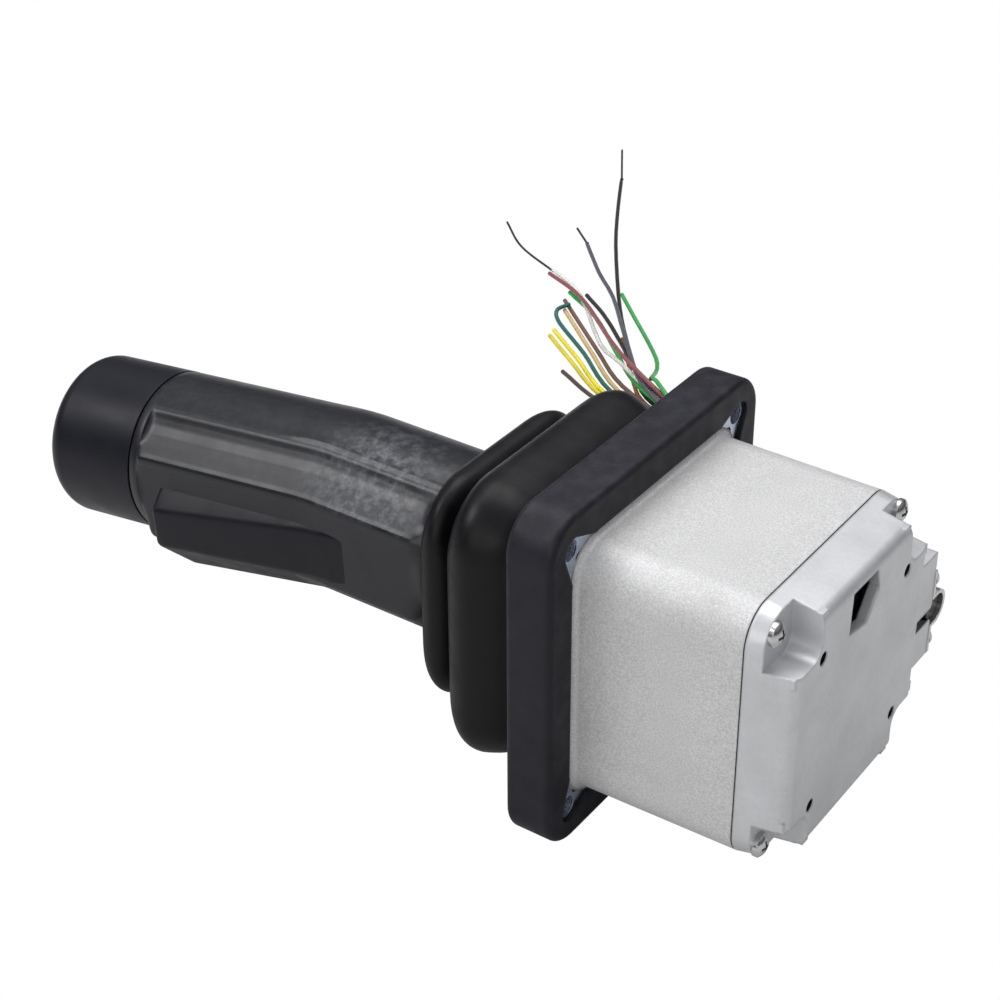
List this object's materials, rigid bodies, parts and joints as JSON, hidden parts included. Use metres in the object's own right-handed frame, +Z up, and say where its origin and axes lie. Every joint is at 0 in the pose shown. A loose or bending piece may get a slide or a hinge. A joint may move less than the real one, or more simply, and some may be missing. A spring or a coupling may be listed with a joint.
{
  "type": "industrial joystick",
  "caption": "Two-axis industrial joystick with a cast housing, square flange, rubber bellows boot, bent grip, trigger and wire tail.",
  "frame": {"origin": "centre of the mounting plate's rear face, on the lever's axis", "axes": "+X along the lever's axis towards the housing and its cover, -X towards the grip, +Z up with the part lying on the lower edge of its boot frame, +Y towards the cable outlet"},
  "size_m": [0.2562, 0.3552, 0.088],
  "materials": {
    "cast_housing": "blasted cast",
    "cast_cover": "smooth cast",
    "zinc_plate": "bright zinc plated",
    "screw_steel": "nickel plated",
    "plain_steel": "turned",
    "spring_steel": "drawn wire",
    "dark_steel": "black oxide",
    "bearing_bronze": "sintered",
    "boot_rubber": "satin moulded",
    "frame_rubber": "satin moulded",
    "gasket_rubber": "matt",
    "grip_plastic": "satin moulded",
    "cap_plastic": "smooth moulded",
    "trigger_plastic": "satin moulded",
    "acetal": "machined",
    "nylon_black": "moulded",
    "sensor_case": "moulded",
    "switch_case": "moulded",
    "switch_button": "moulded",
    "board_laminate": "solder mask",
    "terminal_metal": "tin plated",
    "spacer_nylon": "turned",
    "jacket_pvc": "extruded",
    "core_black": "extruded",
    "core_grey": "extruded",
    "core_white": "extruded",
    "core_pink": "extruded",
    "core_green": "extruded",
    "core_dark": "extruded",
    "core_brown": "extruded",
    "core_beige": "extruded",
    "core_teal": "extruded",
    "core_yellow_long": "extruded",
    "core_yellow_short": "extruded",
    "core_stub": "extruded",
    "core_orange": "extruded",
    "core_green_loop": "extruded"
  },
  "bodies": {
    "base": {"housing": "cast_housing", "mounting_plate": "zinc_plate", "plate_screws": "dark_steel", "boot_frame": "frame_rubber", "boot_lower": "boot_rubber", "cover_gasket": "gasket_rubber", "cover": "cast_cover", "cover_screws": "screw_steel", "cable_saddle": "screw_steel", "saddle_screws": "screw_steel", "circuit_board": "board_laminate", "board_terminals": "terminal_metal", "board_spacers": "spacer_nylon", "centring_cup": "nylon_black", "cup_screws": "screw_steel", "bearing_bushes": "bearing_bronze", "sensor_x": "sensor_case", "cable_jacket": "jacket_pvc", "wire_black": "core_black", "wire_grey": "core_grey", "wire_white": "core_white", "wire_pink": "core_pink", "wire_green": "core_green", "wire_dark": "core_dark", "wire_brown": "core_brown", "wire_beige": "core_beige", "wire_teal": "core_teal", "wire_yellow_long": "core_yellow_long", "wire_yellow_short": "core_yellow_short", "wire_stub": "core_stub", "wire_orange": "core_orange", "wire_green_loop": "core_green_loop"},
    "gimbal": {"gimbal_ring": "plain_steel", "gimbal_pins": "plain_steel", "lever_bushes": "bearing_bronze", "sensor_y": "sensor_case"},
    "stick": {"lever_shaft": "plain_steel", "lever_pin": "plain_steel", "centring_spring": "spring_steel", "centring_plunger": "acetal", "grip_insert": "bearing_bronze", "grip_body": "grip_plastic", "grip_cap": "cap_plastic", "trigger_pin": "plain_steel", "trigger_spring": "spring_steel", "microswitch": "switch_case", "boot_upper": "boot_rubber"},
    "trigger": {"trigger_lever": "trigger_plastic"},
    "plunger": {"switch_plunger": "switch_button"}
  },
  "joints": [
    {"name": "tilt_sideways", "type": "hinge", "parent": "base", "child": "gimbal", "pos_m": [0.016, 0, 0], "axis": [0, 0, 1], "range_deg": [-18, 18], "stiffness_Nm_per_rad": 4, "deforming": ["boot_lower"]},
    {"name": "tilt_fore_aft", "type": "hinge", "parent": "gimbal", "child": "stick", "pos_m": [0.016, 0, 0], "axis": [0, 1, 0], "range_deg": [-18, 18], "stiffness_Nm_per_rad": 4, "deforming": ["boot_upper"]},
    {"name": "trigger_pull", "type": "hinge", "parent": "stick", "child": "trigger", "pos_m": [-0.07152, -0.00468, -0.00468], "axis": [0, 0.7071, -0.7071], "range_deg": [0, 4], "stiffness_Nm_per_rad": 1.5, "springref_deg": -2.86, "deforming": ["trigger_spring"]},
    {"name": "switch_press", "type": "slide", "parent": "stick", "child": "plunger", "axis": [-0.1045, 0.7032, 0.7032], "range_m": [0, 0.0013], "stiffness_N_per_m": 2, "springref_m": -0.001}
  ],
  "couplings": [
    {"joint": "switch_press", "follows": "trigger_pull", "m_per_rad": 0.018}
  ]
}
